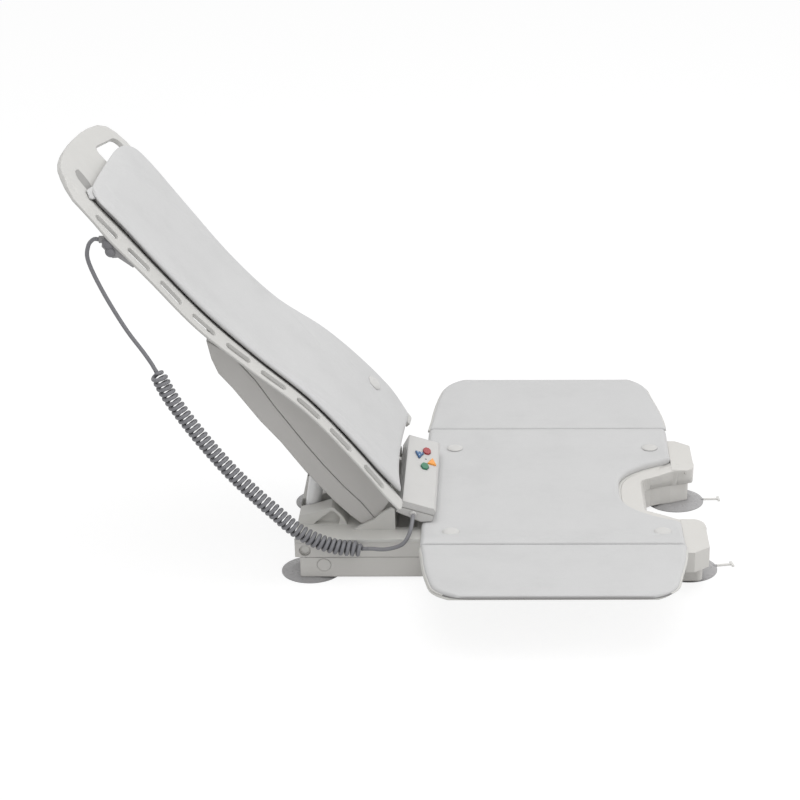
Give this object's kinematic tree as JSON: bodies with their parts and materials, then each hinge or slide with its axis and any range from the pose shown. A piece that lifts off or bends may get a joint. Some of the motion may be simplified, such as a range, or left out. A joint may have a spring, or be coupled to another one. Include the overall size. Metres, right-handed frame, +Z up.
{
  "type": "bath lift",
  "caption": "Low bath seat on suction cups with a scissor lift, folding side flaps, a reclining padded backrest with drive housing, and a corded handset.",
  "frame": {"origin": "floor level under the middle of the overall length and width, cord left out", "axes": "+X toward the feet end, +Y to the sitter's left, +Z up"},
  "size_m": [0.8552, 0.7124, 0.5395],
  "materials": {
    "white_plastic": "fine matt",
    "cover": "smooth soft cover",
    "cup_rubber": "matt",
    "arm_metal": "satin",
    "pin_metal": "satin",
    "dark_plastic": "matt",
    "board": "matt",
    "cord": "matt",
    "red": "satin",
    "blue": "satin",
    "orange": "satin",
    "green": "satin",
    "lamp": "satin"
  },
  "bodies": {
    "base": {"base_rail_left": "white_plastic", "base_rail_right": "white_plastic", "base_bar_rear": "white_plastic", "base_bar_middle": "white_plastic", "cup_front_left": "cup_rubber", "cup_front_right": "cup_rubber", "cup_rear_left": "cup_rubber", "cup_rear_right": "cup_rubber", "base_pivot_pins": "white_plastic"},
    "outer_arms": {"outer_arm_left": "arm_metal", "outer_arm_right": "arm_metal", "outer_tie": "arm_metal", "cross_pivot_pins": "pin_metal", "upper_glides": "dark_plastic"},
    "inner_arms": {"inner_arm_left": "arm_metal", "inner_arm_right": "arm_metal", "inner_tie": "arm_metal", "lower_glides": "dark_plastic"},
    "seat": {"seat_rail_left": "white_plastic", "seat_rail_right": "white_plastic", "seat_plate": "white_plastic", "seat_apron": "white_plastic", "rear_bracket": "white_plastic", "seat_pivot_pins": "white_plastic", "strut_pin": "pin_metal", "seat_pad": "cover", "seat_snap_buttons": "cover", "cord_lead": "cord", "cord_curls": "cord"},
    "flap_left": {"flap_plate_left": "white_plastic", "flap_pad_left": "cover"},
    "flap_right": {"flap_plate_right": "white_plastic", "flap_pad_right": "cover"},
    "backrest": {"back_shell": "white_plastic", "back_pad": "cover", "back_snap_button": "cover", "housing_front": "white_plastic", "housing_rear": "white_plastic", "drive_gearbox": "dark_plastic", "drive_motor": "dark_plastic", "drive_yoke": "pin_metal", "control_board": "board", "back_hinge_pin": "pin_metal", "cord_tail": "cord", "cord_plug": "cord"},
    "strut_tubes": {"strut_tube_left": "white_plastic", "strut_tube_right": "white_plastic"},
    "strut_rods": {"strut_rod_left": "pin_metal", "strut_rod_right": "pin_metal"},
    "handset": {"handset_lower": "white_plastic", "handset_upper": "white_plastic", "handset_battery": "dark_plastic", "key_board": "board", "handset_lamp": "lamp"},
    "key_red": {"key_red": "red"},
    "key_blue": {"key_blue": "blue"},
    "key_orange": {"key_orange": "orange"},
    "key_green": {"key_green": "green"}
  },
  "joints": [
    {"name": "lift", "type": "hinge", "parent": "base", "child": "outer_arms", "pos_m": [-0.10612, 0, 0.0205], "axis": [0, -1, 0], "range_deg": [0, 62]},
    {"name": "scissor", "type": "hinge", "parent": "outer_arms", "child": "inner_arms", "pos_m": [0.09665, 0, 0.02994], "axis": [0, -1, 0], "range_deg": [-124, 0]},
    {"name": "seat_level", "type": "hinge", "parent": "inner_arms", "child": "seat", "pos_m": [-0.13012, 0, 0.0405], "axis": [0, -1, 0], "range_deg": [0, 62]},
    {"name": "flap_left_fold", "type": "hinge", "parent": "seat", "child": "flap_left", "pos_m": [0, 0.1895, 0.0765], "axis": [1, 0, 0], "range_deg": [0, 85]},
    {"name": "flap_right_fold", "type": "hinge", "parent": "seat", "child": "flap_right", "pos_m": [0, -0.1895, 0.0765], "axis": [-1, 0, 0], "range_deg": [0, 85]},
    {"name": "recline", "type": "hinge", "parent": "seat", "child": "backrest", "pos_m": [-0.03411, 0, 0.098], "axis": [0, 1, 0], "range_deg": [0, 31]},
    {"name": "strut_foot", "type": "hinge", "parent": "seat", "child": "strut_tubes", "pos_m": [-0.12612, 0, 0.062], "axis": [0, 1, 0], "range_deg": [0, 20]},
    {"name": "strut_head", "type": "hinge", "parent": "backrest", "child": "strut_rods", "pos_m": [-0.10766, 0, 0.17855], "axis": [0, 1, 0], "range_deg": [-16, 0]},
    {"name": "handset_off", "type": "slide", "parent": "seat", "child": "handset", "axis": [0.8, 0, 0.6], "range_m": [0, 0.08]},
    {"name": "press_red", "type": "slide", "parent": "handset", "child": "key_red", "axis": [-0.2874, 0, -0.9578], "range_m": [0, 0.0015], "stiffness_N_per_m": 400},
    {"name": "press_blue", "type": "slide", "parent": "handset", "child": "key_blue", "axis": [-0.2874, 0, -0.9578], "range_m": [0, 0.0015], "stiffness_N_per_m": 400},
    {"name": "press_orange", "type": "slide", "parent": "handset", "child": "key_orange", "axis": [-0.2874, 0, -0.9578], "range_m": [0, 0.0015], "stiffness_N_per_m": 400},
    {"name": "press_green", "type": "slide", "parent": "handset", "child": "key_green", "axis": [-0.2874, 0, -0.9578], "range_m": [0, 0.0015], "stiffness_N_per_m": 400}
  ],
  "couplings": [
    {"joint": "scissor", "follows": "lift", "ratio": -2},
    {"joint": "seat_level", "follows": "lift", "ratio": 1},
    {"joint": "strut_foot", "follows": "recline", "ratio": 0.5561},
    {"joint": "strut_head", "follows": "recline", "ratio": -0.4439}
  ]
}
